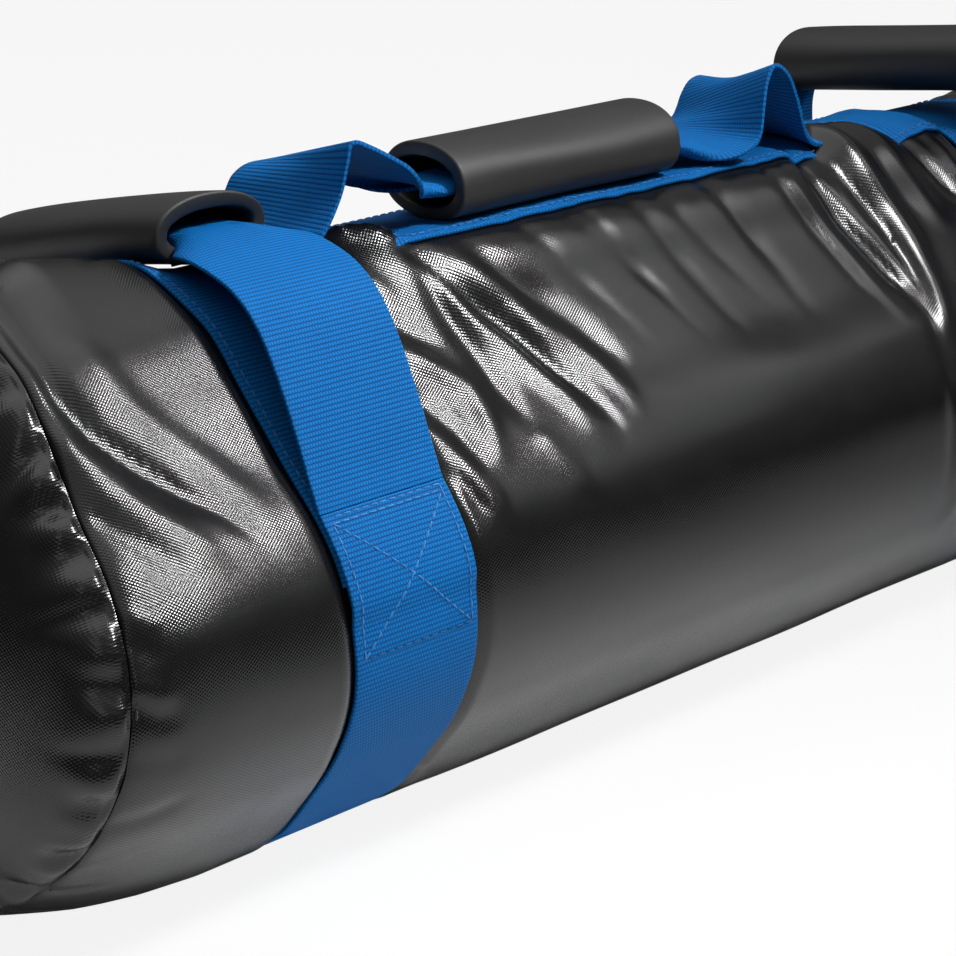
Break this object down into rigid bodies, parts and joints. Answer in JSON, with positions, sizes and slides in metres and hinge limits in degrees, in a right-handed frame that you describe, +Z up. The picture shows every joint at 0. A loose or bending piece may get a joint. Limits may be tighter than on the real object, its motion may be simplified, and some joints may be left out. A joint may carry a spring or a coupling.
{
  "type": "sandbag trainer",
  "caption": "Barrel-shaped sandbag for strength training: coated fabric shell round a sand filling, webbing girth bands and foam-sleeved webbing handles.",
  "frame": {"origin": "middle of the flat that the bag rests on", "axes": "+X along the bag to its right end, +Z up, the front towards -Y"},
  "size_m": [0.6516, 0.2268, 0.2294],
  "materials": {
    "coated_fabric": "gloss coating over a fine weave",
    "blue_webbing": "ribbed matt webbing",
    "black_foam": "matt foam",
    "zip_tape": "woven tape",
    "zip_coil": "nylon",
    "zip_metal": "dark enamel",
    "sand": "loose dry grains",
    "liner_weave": "woven sack cloth",
    "wadding": "needled felt"
  },
  "bodies": {
    "bag": {"barrel_panel": "coated_fabric", "base_strip": "blue_webbing", "belly_band_left": "blue_webbing", "belly_band_right": "blue_webbing", "end_cap_left": "coated_fabric", "end_cap_right": "coated_fabric", "left_back_leg": "blue_webbing", "left_front_leg": "blue_webbing", "liner_bag": "liner_weave", "liner_tie": "zip_coil", "middle_left_arch": "blue_webbing", "middle_right_arch": "blue_webbing", "right_back_leg": "blue_webbing", "right_front_leg": "blue_webbing", "sand_fill": "sand", "top_strip_left": "blue_webbing", "top_strip_right": "blue_webbing", "wadding_end_left": "wadding", "wadding_end_right": "wadding", "wadding_wrap": "wadding", "zip_coil_lower": "zip_coil", "zip_coil_upper": "zip_coil", "zip_stop_left": "zip_metal", "zip_stop_right": "zip_metal", "zip_tape_lower": "zip_tape", "zip_tape_upper": "zip_tape"},
    "left_handle": {"left_core": "blue_webbing"},
    "left_grip": {"left_grip": "black_foam"},
    "right_handle": {"right_core": "blue_webbing"},
    "right_grip": {"right_grip": "black_foam"},
    "middle_handle": {"middle_core": "blue_webbing"},
    "middle_grip": {"middle_grip": "black_foam"},
    "zip_slider": {"zip_slider": "zip_metal"},
    "zip_pull": {"zip_pull": "zip_metal"}
  },
  "joints": [
    {"name": "left_handle_lift", "type": "slide", "parent": "bag", "child": "left_handle", "axis": [0, 0, 1], "range_m": [0, 0.02]},
    {"name": "right_handle_lift", "type": "slide", "parent": "bag", "child": "right_handle", "axis": [0, 0, 1], "range_m": [0, 0.02]},
    {"name": "middle_handle_lift", "type": "slide", "parent": "bag", "child": "middle_handle", "axis": [0, 0, 1], "range_m": [0, 0.05]},
    {"name": "left_grip_slide", "type": "slide", "parent": "left_handle", "child": "left_grip", "axis": [0, 0.9744, -0.225], "range_m": [0, 0.008]},
    {"name": "right_grip_slide", "type": "slide", "parent": "right_handle", "child": "right_grip", "axis": [0, 0.9914, -0.1305], "range_m": [-0.008, 0]},
    {"name": "middle_grip_slide", "type": "slide", "parent": "middle_handle", "child": "middle_grip", "axis": [1, 0, 0], "range_m": [0, 0.008]},
    {"name": "zip_slide", "type": "slide", "parent": "bag", "child": "zip_slider", "axis": [1, 0, 0], "range_m": [0, 0.268]},
    {"name": "zip_pull_swing", "type": "hinge", "parent": "zip_slider", "child": "zip_pull", "pos_m": [-0.1345, 0.10258, 0.10595], "axis": [0, -0.2021, 0.9794], "range_deg": [0, 150]}
  ]
}
